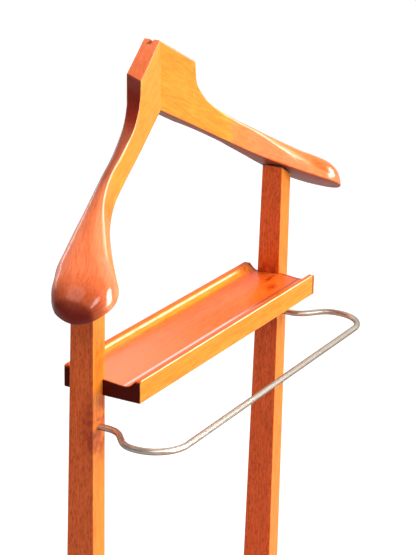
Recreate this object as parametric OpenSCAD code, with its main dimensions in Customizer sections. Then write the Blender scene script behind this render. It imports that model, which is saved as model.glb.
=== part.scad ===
// Clothes valet chair: a beech chair whose back is two posts that carry a
// suit hanger, a coin tray and a bent trouser rod.
// Millimetres. The front is -Y, up is +Z, and the origin is on the floor under
// the middle of the whole chair.

/* [Posts and boards] */
// Thickness of the posts, the front legs and the rails
board = 20; // [16:0.5:26]
// Clear width between the two posts
inner_w = 335; // [300:1:400]
// Depth of a post at the underside of the tray
post_depth = 25.3; // [22:0.1:32]
// How much a post deepens for each mm it goes down
post_taper = 0.0208; // [0:0.0002:0.03]
// Depth of a rear foot
rear_foot_depth = 28; // [24:0.5:36]
// How far the front of a rear foot lies behind the front of its post
rear_rake = 22; // [0:0.5:30]

/* [Hanger] */
// Height of the peak of the underside above the floor
hanger_z = 1068; // [1040:1:1200]
// Height of the wood above the underside at the middle
peak_h = 66.6; // [55:0.2:80]
// Fall of the underside for each mm out from the middle
under_slope = 0.5; // [0.4:0.005:0.54]
// How far out from the middle the underside gets steeper
under_bend = 110; // [90:1:150]
// How much steeper it gets there, for each mm out
under_more = 0.04; // [0:0.01:0.1]
// Fall of the roof for each mm out from the middle
roof_slope = 0.555; // [0.545:0.005:0.65]
// Half width of the roof
roof_half = 50.5; // [40:0.5:56]
// How much nearer the middle the roof ends at its back than at its front
roof_skew = 7.7; // [0:0.1:10]
// Thickness of the wood at the middle, front to back
neck_t = 17.2; // [15:0.2:24]
// How far the back of the middle lies behind the front faces of the posts
hanger_back = 63.8; // [58:0.2:75]
// How far the middle of a shoulder end lies out from the middle of the hanger
bulb_at = 217; // [208:1:240]
// Width of a shoulder end, front to back
bulb_w = 63; // [54:0.1:74]
// How far a shoulder end reaches in front of the posts
bulb_reach = 41.8; // [36:0.1:48]
// Height of a shoulder end
bulb_h = 25; // [20:0.5:28]
// Length of the rounded nose outside the middle of a shoulder end
nose_l = 26.5; // [24:0.5:42]
// How far the nose turns forward
nose_turn = 5.5; // [0:0.5:12]
// Gap between a post and the underside of the hanger
hanger_gap = 1.2; // [0.4:0.1:2]

/* [Hanger tongue] */
// Width of the tongue that crosses the middle joint
tongue_w = 13; // [8:0.5:20]
// Thickness of the tongue
tongue_t = 4.5; // [3:0.5:6]
// Depth of the tongue's slot below the ridge
slot_depth = 46; // [30:1:56]
// How far the tongue lies below the roof
tongue_drop = 1.5; // [1:0.5:6]

/* [Tray] */
// Height of the underside of the tray above the floor
tray_z = 850; // [800:1:900]
// Depth of the tray, front to back
tray_depth = 80.4; // [70:0.2:90]
// How far the tray stands in front of the posts
tray_reach = 39.2; // [30:0.2:45]
// Height of the front lip
tray_front_h = 21.4; // [18:0.2:26]
// Height of the back lip
tray_back_h = 21.4; // [18:0.2:26]
// Thickness of the tray floor at its middle, from front to back
tray_floor = 15.8; // [13:0.2:16.4]
// How much the floor dips towards the lips
tray_dip = 1.8; // [0.6:0.2:3]
// Width of a lip at its top
lip_w = 4.8; // [4:0.2:8]
// Radius of the hollow beside a lip
cove_r = 9; // [5:0.2:11]
// Depth of the housing in a post that holds an end of the tray
housing = 4.4; // [3:0.1:6]

/* [Trouser rod] */
// Diameter of the rod
rod_d = 6; // [5:0.1:8]
// How far the axis of the rod lies below the tray
rod_drop = 28; // [20:0.5:60]
// Length of the rod inside a post
rod_plug = 14; // [8:0.5:18]
// Straight length of the rod in front of a post
rod_stub = 9; // [4:0.5:14]
// How far the rod's sides swing out past the middle of the posts
rod_swing = 25.5; // [15:0.5:40]
// Length of the straight run between the two bends of the swing
rod_run = 13; // [4:0.5:24]
// Straight length of the rod's sides behind its front corners
rod_side_l = 2; // [1:0.5:10]
// Radius of the rod's front corners
rod_corner = 33; // [25:0.5:40]
// How far the front bar lies in front of the posts
rod_reach = 87; // [80:0.5:110]

/* [Seat] */
// Height of the top of the seat above the floor
seat_z = 450; // [420:1:480]
// Thickness of the seat panel
seat_t = 18; // [15:0.5:24]
// Width of the seat panel
seat_w = 400; // [388:1:440]
// How far the seat reaches in front of the posts
seat_reach = 360; // [330:1:400]
// Radius of the seat's front corners
seat_corner = 28; // [10:1:40]
// Gap between the seat panel and a post
seat_gap = 0.5; // [0.3:0.1:2]
// Height of the rails under the seat
rail_h = 50; // [44:1:70]
// How far the seat overhangs the front legs
seat_over = 16; // [5:1:30]
// How far the back rail lies behind the front faces of the posts
back_rail_set = 11; // [9:0.5:12]

/* [Front legs and stretchers] */
// Depth of a front leg beside the rails
leg_depth = 36; // [32:0.5:45]
// Depth of a front foot
front_foot_depth = 25; // [22:0.5:32]
// Height of the underside of the stretchers above the floor
stretcher_z = 150; // [110:1:200]
// Height of a stretcher
stretcher_h = 26; // [22:0.5:36]
// Thickness of a stretcher
stretcher_t = 16; // [14:0.5:20]

/* [Blocks and screws] */
// Side of a corner block along a rail
block_side = 60; // [50:1:70]
// Height of a corner block
block_h = 30; // [24:1:38]
// Distance of a rail screw from the corner of its block
rail_screw_at = 32; // [28:0.5:36]
// Distance of a seat screw from both rails
seat_screw_at = 16; // [12:0.5:20]
// Shank diameter of a screw
screw_d = 4; // [3.5:0.1:5]
// Head diameter of a screw
head_d = 8; // [7:0.2:9]
// Thickness of a screw head
head_t = 2.4; // [2:0.1:3.5]
// How deep a screw head lies below the face of its block
head_sink = 3; // [1:0.5:6]
// Length of a screw in the wood beyond its block
screw_bite = 12; // [9:0.5:14]

/* [Dowels] */
// Diameter of a frame dowel
dowel_d = 8; // [6:0.5:8.5]
// Length of a frame dowel
dowel_l = 30; // [24:1:34]
// Depth of a frame dowel in the thickness of a board
dowel_bite = 12; // [9:0.5:13]
// Distance between the two dowels at an end of a side rail
side_dowel_pitch = 34; // [32:0.5:35]
// Distance between the two dowels at an end of the front or back rail
cross_dowel_pitch = 14; // [11:0.5:16]
// Diameter of a tray dowel
tray_dowel_d = 6; // [5:0.5:7]
// Length of a tray dowel
tray_dowel_l = 28; // [20:1:34]
// Depth of a tray dowel in a post
tray_dowel_bite = 9; // [6:0.5:10]
// Distance between the two tray dowels at one end
tray_dowel_pitch = 12; // [10:0.5:13]
// Length of the dowel between a post and the hanger
hanger_dowel_l = 40; // [30:1:44]
// Depth of that dowel in the hanger
hanger_dowel_bite = 14; // [10:0.5:16]
// Depth of a dowel in the thickness of a side stretcher
stretcher_bite = 10; // [7:0.5:11]
// Room around a dowel, screw, nail, rod or tongue
fit = 0.05; // [0.03:0.01:0.1]

/* [Foot glides] */
// Diameter of a glide
glide_d = 17; // [14:0.5:19]
// Height of a glide
glide_h = 4; // [3:0.2:6]
// Diameter of a glide's nail
nail_d = 2.5; // [2:0.1:3.5]
// Length of the nail in the foot
nail_l = 14; // [10:1:20]
// Diameter of the nail's head
nail_head_d = 6; // [5:0.2:8]
// Thickness of the nail's head
nail_head_t = 1.2; // [0.8:0.1:1.6]
// How deep the nail's head lies in the glide
nail_sink = 1; // [0.5:0.1:1.2]

/* [Hidden] */
$fn = 48;
eps = 0.01;                                    // overshoot of a cut past a face
over = 1;                                      // overshoot of a cut into the open

// Colours
front_beech = [1.00, 0.66, 0.32];
red_beech = [0.78, 0.36, 0.20];
mid_beech = [0.93, 0.52, 0.27];
dowel_wood = [0.86, 0.70, 0.48];
nickel = [0.78, 0.75, 0.70];
zinc = [0.72, 0.72, 0.70];
nylon = [0.35, 0.22, 0.16];

// Places across the chair
post_in = inner_w / 2;                         // inner face of a post
post_out = post_in + board;                    // outer face of a post
post_mid = post_in + board / 2;                // middle of a post

// Places from front to back
post_y = (seat_reach - hanger_back) / 2;       // front faces of the posts
seat_front = post_y - seat_reach;
leg_front = seat_front + seat_over;            // front face of a front leg
leg_back = leg_front + leg_depth;              // back face of a front leg at the rails
front_rail_y = leg_front + (leg_depth - board) / 2;
back_rail_y = post_y + back_rail_set;          // front face of the back rail
front_foot_y = leg_front + front_foot_depth / 2;
rear_foot_y = post_y + rear_rake + rear_foot_depth / 2;

// Heights
seat_under = seat_z - seat_t;
rail_bottom = seat_under - rail_h;
rail_mid = seat_under - rail_h / 2;
stretcher_mid = stretcher_z + stretcher_h / 2;
block_mid = seat_under - block_h / 2;
rod_z = tray_z - rod_drop;
ridge_z = hanger_z + peak_h;

// Underside of the hanger at distance s out from the middle
function under(s) = hanger_z - under_slope * s
    - under_more * max(0, min(s, post_out + 2) - under_bend);
// Back face of a post at height z, from the hanger down to the seat rails
function post_back(z) = post_y + post_depth + post_taper * (tray_z - z);
// How far down from the rails to a foot the height z lies, from 0 to 1
function leg_part(z) = (rail_bottom - z) / (rail_bottom - glide_h);
// Front face of a rear leg, and back face of a front leg, below the rails
function rear_leg_front(z) = post_y + rear_rake * leg_part(z);
function front_leg_back(z) = leg_back - (leg_depth - front_foot_depth) * leg_part(z);

// ---- Helpers ----

// Draws its children on the +X side and mirrored on the -X side
module both_sides() {
    children();
    mirror([1, 0, 0]) children();
}

// A round pin or bore of diameter d and length l, along "x", "y" or "z" from p
module pin(p, axis, d, l) {
    turn = axis == "x" ? [0, 90, 0] : axis == "y" ? [-90, 0, 0] : [0, 0, 0];
    translate(p) rotate(turn) cylinder(d = d, h = l);
}

// A board given by its least and greatest corners
module slab(a, b) {
    translate(a) cube(b - a);
}

// A side outline in Y and Z, cut from a board that spans x0 to x1
module side_cut(x0, x1, outline) {
    translate([x0, 0, 0]) rotate([90, 0, 90])
        linear_extrude(x1 - x0) polygon(outline);
}

// ---- Hanger ----

// Stations along an arm, from the corner of the roof to the shoulder end:
// [distance out, height, front and back from the fronts of the posts,
//  width and height of the top rounding, rounding of the base, skew,
//  lean of the front face, drop and turn of the dome from the crown to that face]
arm_sweep = 0.2;                               // forward sweep of the neck per mm out
neck_lean = 1.9;                               // how far the neck's front stands out at its foot
neck_front = hanger_back - neck_t - neck_lean; // foot of the neck's front
edge_r = 1.2;                                  // rounding of the roof's edges
base_r = 1;                                    // rounding of the edges of the underside
bulb_back = bulb_w - bulb_reach;
stations = [
    [roof_half, peak_h - (roof_slope - under_slope) * roof_half,
        neck_front - arm_sweep * roof_half, hanger_back - 7.7, edge_r, edge_r, base_r,
        roof_skew, neck_lean, edge_r, 90],
    [roof_half + 2, 47.5, neck_front - 10.5, hanger_back - 9.5, 1.5, 1.5, base_r,
        roof_skew, neck_lean, 1.3, 85],
    [roof_half + 6.5, 39.5, neck_front - 11.3, hanger_back - 12, 2, 2, base_r, 6.9, 1.5, 1.3, 80],
    [roof_half + 19.5, 32, neck_front - 13.6, hanger_back - 17.5, 3, 4, base_r, 3.9, 1, 1.8, 60],
    [95, 29, 26.7, 41, 7, 9.5, base_r, 1, 1.9, 2.5, 45],
    [120, 28.3, 20.9, 38.6, 9.3, 16, base_r, 0, 4.2, 3, 40],
    [145, 28.4, 9.3, 35.4, 13.4, 19, 1.2, 0, 6.2, 4.5, 40],
    [170, 27.5, -8.5, 32.9, 20, 19.7, 1.5, 0, 7, 10.7, 45],
    [192, 26.5, -26.7, 29.2, 24, 18.3, 2, 0, 7.5, 15, 60],
    [bulb_at - 12, bulb_h + 0.4, 4.2 - bulb_reach, bulb_back + 5.6, 24, 17.5, 2, 0, 4, 17, 75],
    [bulb_at, bulb_h, -bulb_reach, bulb_back, 24, 17, 2, 0, 1, 17, 85]
];
steps = 5;                                     // rings from one station to the next
nose_rings = 7;                                // rings around the nose
nose_cut = 84;                                 // angle at which the nose ends flat
nose_power = 1.15;                             // fullness of the nose, 1 is round
top_pts = 6;                                   // points around a top rounding
base_pts = 2;                                  // points around a base rounding

// The row of numbers a part f of the way from station i to the next, on a
// smooth curve through all the stations
function station(i) = stations[max(0, min(len(stations) - 1, i))];
function along(i, f) =
    let (a = station(i - 1), b = station(i), c = station(i + 1), d = station(i + 2))
    b * (2 * f ^ 3 - 3 * f ^ 2 + 1) + (c - a) / 2 * (f ^ 3 - 2 * f ^ 2 + f)
    + c * (3 * f ^ 2 - 2 * f ^ 3) + (d - b) / 2 * (f ^ 3 - f ^ 2);

// Points of a quarter round with n steps, from angle a0 to angle a1
function quarter(y, z, w, h, a0, a1, n) =
    [for (i = [0 : n]) let (a = a0 + (a1 - a0) * i / n) [y + w * cos(a), z + h * sin(a)]];

// Points from the crown of a front down to its face: part of a quarter round that
// turns by turn, w wide and drop high
function dome(y, z, w, drop, turn, n) =
    [for (i = [0 : n]) let (a = turn * i / n)
        [y - w * sin(a) / sin(turn), z - drop * (1 - cos(a)) / (1 - cos(turn))]];

// One ring: over the base, up the back, over the top and down the front.
// k shrinks it towards its middle.
function ring(r, k = 1) =
    let (h = r[1] * k, mid = (r[2] + r[3]) / 2, half = (r[3] - r[2]) / 2 * k)
    let (b = r[6] * k, w = min(r[4] * k, half - eps), t = min(r[5] * k, h - b - eps))
    let (crown = min(r[4] * k, half - r[8] * k - eps), drop = min(r[9] * k, h - b - eps))
    let (flat = concat(
        quarter(mid + half - b, b, b, b, -90, 0, base_pts),
        quarter(mid + half - w, h - t, w, t, 0, 90, top_pts),
        dome(mid - half + r[8] * k + crown, h, crown, drop, r[10], top_pts),
        quarter(mid - half + b, b, b, b, 180, 270, base_pts)))
    [for (p = flat) let (s = r[0] - r[7] * (p[0] - mid + half) / (2 * half))
        [s, post_y + p[0], under(s) + p[1]]];

nose_rows = [for (i = [1 : nose_rings]) let (a = nose_cut * i / nose_rings)
    let (turn = nose_turn * (1 - cos(a)), last = station(len(stations)))
    [[last[0] + nose_l * sin(a) / sin(nose_cut), last[1], last[2] - turn, last[3] - turn,
        last[4], last[5], last[6], 0, last[8], last[9], last[10]], cos(a) ^ nose_power]];

rings = concat(
    [ring([0, peak_h, neck_front, hanger_back, edge_r, edge_r, base_r, 0, neck_lean, edge_r, 90])],
    [for (i = [0 : len(stations) - 2], j = [0 : steps - 1]) ring(along(i, j / steps))],
    [ring(station(len(stations)))],
    [for (r = nose_rows) ring(r[0], r[1])]
);

// The closed skin of the +X arm
module arm_skin() {
    n = len(rings[0]);
    m = len(rings);
    sides = [for (i = [0 : m - 2], j = [0 : n - 1]) let (k = (j + 1) % n)
        each [[i * n + j, (i + 1) * n + k, i * n + k],
              [i * n + j, (i + 1) * n + j, (i + 1) * n + k]]];
    start = [for (j = [0 : n - 1]) j];
    end = [for (j = [n - 1 : -1 : 0]) (m - 1) * n + j];
    polyhedron(points = [for (r = rings, p = r) p], faces = concat(sides, [start], [end]));
}

tongue_y = post_y + hanger_back - neck_t / 2;  // middle of the tongue, front to back

module hanger_dowel(d) {
    bottom = under(post_mid) + hanger_dowel_bite - hanger_dowel_l;
    pin([post_mid, (post_y + post_back(bottom)) / 2, bottom], "z", d, hanger_dowel_l);
}

module arm() {
    difference() {
        arm_skin();
        slab([-eps, tongue_y - tongue_t / 2 - fit, ridge_z - slot_depth],
             [tongue_w / 2 + fit, tongue_y + tongue_t / 2 + fit, ridge_z + over]);
        hanger_dowel(dowel_d + 2 * fit);
    }
}

module hanger_right() {
    color(mid_beech) arm();
}

module hanger_left() {
    color(mid_beech) mirror([1, 0, 0]) arm();
}

module hanger_tongue() {
    top = ridge_z - tongue_drop;
    half = tongue_w / 2;
    color(red_beech)
        translate([0, tongue_y + tongue_t / 2, 0]) rotate([90, 0, 0]) linear_extrude(tongue_t)
            polygon([[-half, ridge_z - slot_depth], [half, ridge_z - slot_depth],
                     [half, top - roof_slope * half], [0, top], [-half, top - roof_slope * half]]);
}

module hanger_dowels() {
    color(dowel_wood) both_sides() hanger_dowel(dowel_d);
}

// ---- Dowels, screws and nails: the pin with room 0, its bore with room fit ----

// Dowels between the rails and the posts or front legs, on the +X side
module rail_dowel_set(room) {
    d = dowel_d + 2 * room;
    for (side = [-0.5, 0.5]) {
        // side rail, into the post and into the front leg
        for (y = [post_y, leg_back])
            pin([post_mid, y - dowel_l / 2, rail_mid + side * side_dowel_pitch], "y", d, dowel_l);
        // front and back rails, into the inner face of the leg or post
        for (y = [front_rail_y, back_rail_y])
            pin([post_in + dowel_bite - dowel_l, y + board / 2,
                 rail_mid + side * cross_dowel_pitch], "x", d, dowel_l);
    }
}

// Dowels at the ends of the stretchers, on the +X side
module stretcher_dowel_set(room) {
    d = dowel_d + 2 * room;
    for (y = [rear_leg_front(stretcher_mid), front_leg_back(stretcher_mid)])
        pin([post_mid, y - dowel_l / 2, stretcher_mid], "y", d, dowel_l);
    pin([post_mid - stretcher_t / 2 + stretcher_bite - dowel_l, cross_y, stretcher_mid], "x",
        d, dowel_l);
}

// Dowels between the tray and a post, on the +X side
module tray_dowel_set(room) {
    for (side = [-0.5, 0.5])
        pin([post_in + housing + tray_dowel_bite - tray_dowel_l,
             post_y + post_depth / 2 + side * tray_dowel_pitch, tray_z + (tray_floor - tray_dip) / 2],
            "x", tray_dowel_d + 2 * room, tray_dowel_l);
}

// A screw that points along +X with the top of its head at the origin
module screw(l, room) {
    pin([0, 0, 0], "x", head_d + 2 * room, head_t);
    pin([0, 0, 0], "x", screw_d + 2 * room, l);
}

// The three screws of a block whose corner is at the origin, with the side rail
// towards +X and the front or back rail towards -Y
rail_screw_in = block_side - rail_screw_at - head_d / 2 - head_sink;
module rail_screws(room) {
    l = rail_screw_in + screw_bite;
    translate([-rail_screw_in, rail_screw_at, block_mid]) screw(l, room);
    translate([-rail_screw_at, rail_screw_in, block_mid]) rotate([0, 0, -90]) screw(l, room);
}

module seat_screw(room) {
    translate([-seat_screw_at, seat_screw_at, seat_under - block_h + head_sink])
        rotate([0, -90, 0]) screw(block_h - head_sink + screw_bite, room);
}

// Moves its children from the origin to the corner of the front or rear block
// on the +X side
module at_corner(rear) {
    translate([post_in, rear ? back_rail_y : front_rail_y + board, 0])
        mirror([0, rear ? 1 : 0, 0]) children();
}

// The nail of a glide
module nail(y, room) {
    pin([post_mid, y, nail_sink], "z", nail_head_d + 2 * room, nail_head_t + room);
    pin([post_mid, y, nail_sink], "z", nail_d + 2 * room, glide_h - nail_sink + nail_l);
}

// ---- Posts ----

module post() {
    foot = post_y + rear_rake;
    top = under(post_in);
    color(red_beech) difference() {
        intersection() {
            side_cut(post_in, post_out, [
                [foot, glide_h], [foot + rear_foot_depth, glide_h],
                [post_back(rail_bottom), rail_bottom], [post_back(top), top],
                [post_y, top], [post_y, rail_bottom]]);
            // the top follows the underside of the hanger
            translate([0, post_back(glide_h), 0]) rotate([90, 0, 0])
                linear_extrude(post_back(glide_h) - post_y + over)
                    polygon([[post_in, 0], [post_out, 0],
                             [post_out, under(post_out) - hanger_gap],
                             [post_in, under(post_in) - hanger_gap]]);
        }
        tray_bar(post_in - eps, post_in + housing);
        tray_dowel_set(fit);
        hanger_dowel(dowel_d + 2 * fit);
        pin([post_mid, post_y - over, rod_z], "y", rod_d + 2 * fit, rod_plug + over);
        rail_dowel_set(fit);
        stretcher_dowel_set(fit);
        nail(rear_foot_y, fit);
    }
}

module right_post() {
    post();
}

module left_post() {
    mirror([1, 0, 0]) post();
}

// ---- Tray ----

// The tray's section in Y and Z, with its front at y = 0
cove_turn = 45;                                // slope of a lip's inner side
cove_steps = 5;
crown_steps = 6;

// Top of the tray from a lip of height h to the middle of the floor
function tray_top(h) =
    let (low = tray_floor - tray_dip,
         dip_at = lip_w + h - low + cove_r * (sin(cove_turn) + cos(cove_turn) - 1))
    concat([[0, h], [lip_w, h]],
        [for (i = [cove_steps : -1 : 1]) let (a = cove_turn * i / cove_steps)
            [dip_at - cove_r * sin(a), low + cove_r * (1 - cos(a))]],
        [for (i = [0 : crown_steps]) let (u = i / crown_steps)
            [dip_at + (tray_depth / 2 - dip_at) * u, low + tray_dip * sin(90 * u) ^ 2]]);

module tray_section() {
    back = tray_top(tray_back_h);
    polygon(concat([[0, 0]], tray_top(tray_front_h),
        [for (i = [len(back) - 2 : -1 : 0]) [tray_depth - back[i][0], back[i][1]]],
        [[tray_depth, 0]]));
}

// The tray's outline as a bar from x0 to x1: the board, or its housing in a post
module tray_bar(x0, x1) {
    translate([x0, post_y - tray_reach, tray_z]) rotate([90, 0, 90])
        linear_extrude(x1 - x0) tray_section();
}

module tray() {
    half = post_in + housing;
    color(front_beech) difference() {
        tray_bar(-half, half);
        both_sides() tray_dowel_set(fit);
    }
}

module tray_dowels() {
    color(dowel_wood) both_sides() tray_dowel_set(0);
}

// ---- Trouser rod ----

// The swing is a bend, a straight run and the same bend back. Its length along
// Y, its width and the run give the radius and the angle of the bends.
swing_l = rod_reach - rod_corner - rod_side_l - rod_stub;
rod_bend = (rod_swing ^ 2 + swing_l ^ 2 - rod_run ^ 2) / (4 * rod_swing);
rod_turn = atan2(rod_swing - 2 * rod_bend, swing_l) + atan2(2 * rod_bend, rod_run);
weld = 0.1;                                    // how far a straight piece reaches into a bend
swell = 0.01;                                  // how much thicker a bend is all round

// A straight piece of rod from p, with its heading in degrees from -Y
module rod_straight(p, heading, l) {
    translate(p) rotate([0, 0, heading]) rotate([90, 0, 0])
        translate([0, 0, -weld]) cylinder(d = rod_d, h = l + 2 * weld, $fn = 32);
}

// A bend of rod about the vertical through p, from angle a over the angle turn
module rod_arc(p, radius, a, turn) {
    translate(p) rotate([0, 0, a]) rotate_extrude(angle = turn, $fn = 96)
        translate([radius, 0]) circle(r = rod_d / 2 + swell, $fn = 32);
}

// Half of the rod, with the origin where its swing starts
module rod_half() {
    rod_straight([0, rod_plug + rod_stub - weld], 0, rod_plug + rod_stub - weld);
    rod_arc([rod_bend, 0], rod_bend, 180, rod_turn);
    rod_straight([rod_bend * (1 - cos(rod_turn)), -rod_bend * sin(rod_turn)], rod_turn, rod_run);
    rod_arc([rod_swing - rod_bend, -swing_l], rod_bend, 0, rod_turn);
    rod_straight([rod_swing, -swing_l], 0, rod_side_l);
    rod_arc([rod_swing - rod_corner, -swing_l - rod_side_l], rod_corner, -90, 90);
}

module trouser_rod() {
    bar = post_mid + rod_swing - rod_corner;   // half the length of the front bar
    color(nickel) translate([0, post_y, rod_z]) union() {
        both_sides() translate([post_mid, -rod_stub]) rod_half();
        rod_straight([bar, -rod_reach], -90, 2 * bar);
    }
}

// ---- Seat and rails ----

module seat_panel() {
    color(mid_beech) difference() {
        translate([0, 0, seat_under]) linear_extrude(seat_t) {
            difference() {
                translate([-seat_w / 2, seat_front]) square([seat_w, seat_reach - seat_gap]);
                for (side = [-1, 1])
                    translate([side * seat_w / 2, seat_front]) scale([-side, 1]) difference() {
                        translate([-eps, -eps]) square(seat_corner + eps);
                        translate([seat_corner, seat_corner]) circle(seat_corner, $fn = 96);
                    }
            }
            translate([seat_gap - post_in, post_y - seat_gap - over])
                square([2 * (post_in - seat_gap), back_rail_set + board + seat_gap + over]);
        }
        both_sides() for (rear = [false, true]) at_corner(rear) seat_screw(fit);
    }
}

module cross_rail(y, rear) {
    color(front_beech) difference() {
        slab([-post_in, y, rail_bottom], [post_in, y + board, seat_under]);
        both_sides() {
            rail_dowel_set(fit);
            at_corner(rear) rail_screws(fit);
        }
    }
}

module front_rail() {
    cross_rail(front_rail_y, false);
}

module back_rail() {
    cross_rail(back_rail_y, true);
}

module side_rail() {
    color(red_beech) difference() {
        slab([post_in, leg_back, rail_bottom], [post_out, post_y, seat_under]);
        rail_dowel_set(fit);
        for (rear = [false, true]) at_corner(rear) rail_screws(fit);
    }
}

module right_side_rail() {
    side_rail();
}

module left_side_rail() {
    mirror([1, 0, 0]) side_rail();
}

// ---- Front legs and stretchers ----

module front_leg() {
    color(red_beech) difference() {
        side_cut(post_in, post_out, [
            [leg_front, glide_h], [leg_front + front_foot_depth, glide_h],
            [leg_back, rail_bottom], [leg_back, seat_under], [leg_front, seat_under]]);
        rail_dowel_set(fit);
        stretcher_dowel_set(fit);
        nail(front_foot_y, fit);
    }
}

module right_front_leg() {
    front_leg();
}

module left_front_leg() {
    mirror([1, 0, 0]) front_leg();
}

cross_y = (front_leg_back(stretcher_mid) + rear_leg_front(stretcher_mid)) / 2;

module side_stretcher() {
    low = stretcher_z;
    high = stretcher_z + stretcher_h;
    color(red_beech) difference() {
        side_cut(post_mid - stretcher_t / 2, post_mid + stretcher_t / 2, [
            [front_leg_back(low), low], [rear_leg_front(low), low],
            [rear_leg_front(high), high], [front_leg_back(high), high]]);
        stretcher_dowel_set(fit);
    }
}

module right_stretcher() {
    side_stretcher();
}

module left_stretcher() {
    mirror([1, 0, 0]) side_stretcher();
}

module cross_stretcher() {
    half = post_mid - stretcher_t / 2;
    color(front_beech) difference() {
        slab([-half, cross_y - stretcher_t / 2, stretcher_z],
             [half, cross_y + stretcher_t / 2, stretcher_z + stretcher_h]);
        both_sides() stretcher_dowel_set(fit);
    }
}

module rail_dowels() {
    color(dowel_wood) both_sides() rail_dowel_set(0);
}

module stretcher_dowels() {
    color(dowel_wood) both_sides() stretcher_dowel_set(0);
}

// ---- Corner blocks and their screws ----

module block(rear) {
    color(mid_beech) at_corner(rear) difference() {
        translate([0, 0, seat_under - block_h]) linear_extrude(block_h)
            polygon([[0, 0], [0, block_side], [-block_side, 0]]);
        rail_screws(fit);
        seat_screw(fit);
        // the ways in for the screw heads
        translate([-block_side, rail_screw_at, block_mid])
            pin([0, 0, 0], "x", head_d + 2 * fit, block_side - rail_screw_in + eps);
        translate([-rail_screw_at, rail_screw_in - eps, block_mid])
            pin([0, 0, 0], "y", head_d + 2 * fit, block_side - rail_screw_in);
        translate([-seat_screw_at, seat_screw_at, seat_under - block_h - over])
            pin([0, 0, 0], "z", head_d + 2 * fit, head_sink + over + eps);
    }
}

module front_right_block() {
    block(false);
}

module front_left_block() {
    mirror([1, 0, 0]) block(false);
}

module rear_right_block() {
    block(true);
}

module rear_left_block() {
    mirror([1, 0, 0]) block(true);
}

module block_screws() {
    color(zinc) both_sides() for (rear = [false, true]) at_corner(rear) rail_screws(0);
}

module seat_screws() {
    color(zinc) both_sides() for (rear = [false, true]) at_corner(rear) seat_screw(0);
}

// ---- Foot glides ----

module glide(y) {
    color(nylon) difference() {
        pin([post_mid, y, 0], "z", glide_d, glide_h);
        nail(y, fit);
        pin([post_mid, y, -over], "z", nail_head_d + 2 * fit, nail_sink + over + eps);
    }
}

module front_right_glide() {
    glide(front_foot_y);
}

module front_left_glide() {
    mirror([1, 0, 0]) glide(front_foot_y);
}

module rear_right_glide() {
    glide(rear_foot_y);
}

module rear_left_glide() {
    mirror([1, 0, 0]) glide(rear_foot_y);
}

module glide_nails() {
    color(zinc) both_sides() for (y = [front_foot_y, rear_foot_y]) nail(y, 0);
}

hanger_left();
hanger_right();
hanger_tongue();
hanger_dowels();
left_post();
right_post();
tray();
tray_dowels();
trouser_rod();
seat_panel();
front_rail();
back_rail();
left_side_rail();
right_side_rail();
left_front_leg();
right_front_leg();
left_stretcher();
right_stretcher();
cross_stretcher();
rail_dowels();
stretcher_dowels();
front_left_block();
front_right_block();
rear_left_block();
rear_right_block();
block_screws();
seat_screws();
front_left_glide();
front_right_glide();
rear_left_glide();
rear_right_glide();
glide_nails();
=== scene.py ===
# %% [markdown]
# # A clothes valet chair in lacquered beech
# The chair's back is two tall posts. They carry a carved suit hanger, a tray for coins
# and a bent metal rod for trousers. The measured model is loaded first and stays where
# it is. This lesson gives it its wood, its lacquer, its metal and its light.

# %% Load the measured model
import math
import bisect
import bpy
import bmesh
from mathutils import Matrix, Vector


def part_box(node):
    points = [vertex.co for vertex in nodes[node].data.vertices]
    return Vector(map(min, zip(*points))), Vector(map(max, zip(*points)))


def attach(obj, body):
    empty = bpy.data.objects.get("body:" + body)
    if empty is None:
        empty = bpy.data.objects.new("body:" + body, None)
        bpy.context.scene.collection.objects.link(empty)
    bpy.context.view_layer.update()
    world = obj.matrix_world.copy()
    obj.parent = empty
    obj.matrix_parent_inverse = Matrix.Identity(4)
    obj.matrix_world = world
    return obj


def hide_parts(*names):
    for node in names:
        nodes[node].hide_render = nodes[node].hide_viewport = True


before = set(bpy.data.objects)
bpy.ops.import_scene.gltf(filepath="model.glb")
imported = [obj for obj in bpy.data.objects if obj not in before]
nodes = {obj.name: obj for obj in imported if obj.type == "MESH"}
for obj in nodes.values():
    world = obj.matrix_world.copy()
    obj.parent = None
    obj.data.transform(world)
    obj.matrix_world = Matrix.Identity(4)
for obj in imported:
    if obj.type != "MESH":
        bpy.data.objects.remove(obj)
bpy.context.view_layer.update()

# %% [markdown]
# ## The camera
# The photograph looks at the upper third of the chair from its left, a little from
# above, with a long lens. The numbers below come from fitting a camera to the straight
# edges of the tray, the posts and the hanger. The frame is 416 by 555 pixels, taller
# than wide, so the 36 mm of the sensor lie along the 555. The target is a point between
# the posts, a little above the tray.

# %% Aim the camera
AZIMUTH, ELEVATION, ROLL = math.radians(-60.99), math.radians(19.106), math.radians(1.16)
TARGET = Vector((0.0185, 0.1489, 0.9051))
DISTANCE = 1.8284
FOCAL_PX, FRAME_H, SENSOR = 1898.8, 555, 36

back = Vector((math.sin(AZIMUTH) * math.cos(ELEVATION),
               -math.cos(AZIMUTH) * math.cos(ELEVATION), math.sin(ELEVATION)))
right = (-back).cross(Vector((0, 0, 1))).normalized()
up = right.cross(-back)
right, up = (math.cos(ROLL) * right + math.sin(ROLL) * up,
             -math.sin(ROLL) * right + math.cos(ROLL) * up)
camera = bpy.data.objects.new("camera", bpy.data.cameras.new("camera"))
camera.matrix_world = (Matrix.Translation(TARGET + back * DISTANCE)
                       @ Matrix((right, up, back)).transposed().to_4x4())
camera.data.sensor_width = SENSOR
camera.data.lens = FOCAL_PX / FRAME_H * SENSOR
camera.data.clip_end = 50
bpy.context.scene.collection.objects.link(camera)
bpy.context.scene.camera = camera
bpy.context.scene.view_settings.view_transform = "Standard"
print("camera at", [round(v, 3) for v in camera.location], "lens", round(camera.data.lens, 1))

# %% [markdown]
# ## Small helpers for node trees
# Materials and Geometry Nodes are both built from nodes and links. These helpers make a
# node and set or link its inputs in one call. An input is a number, or the socket of
# another node.

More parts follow.
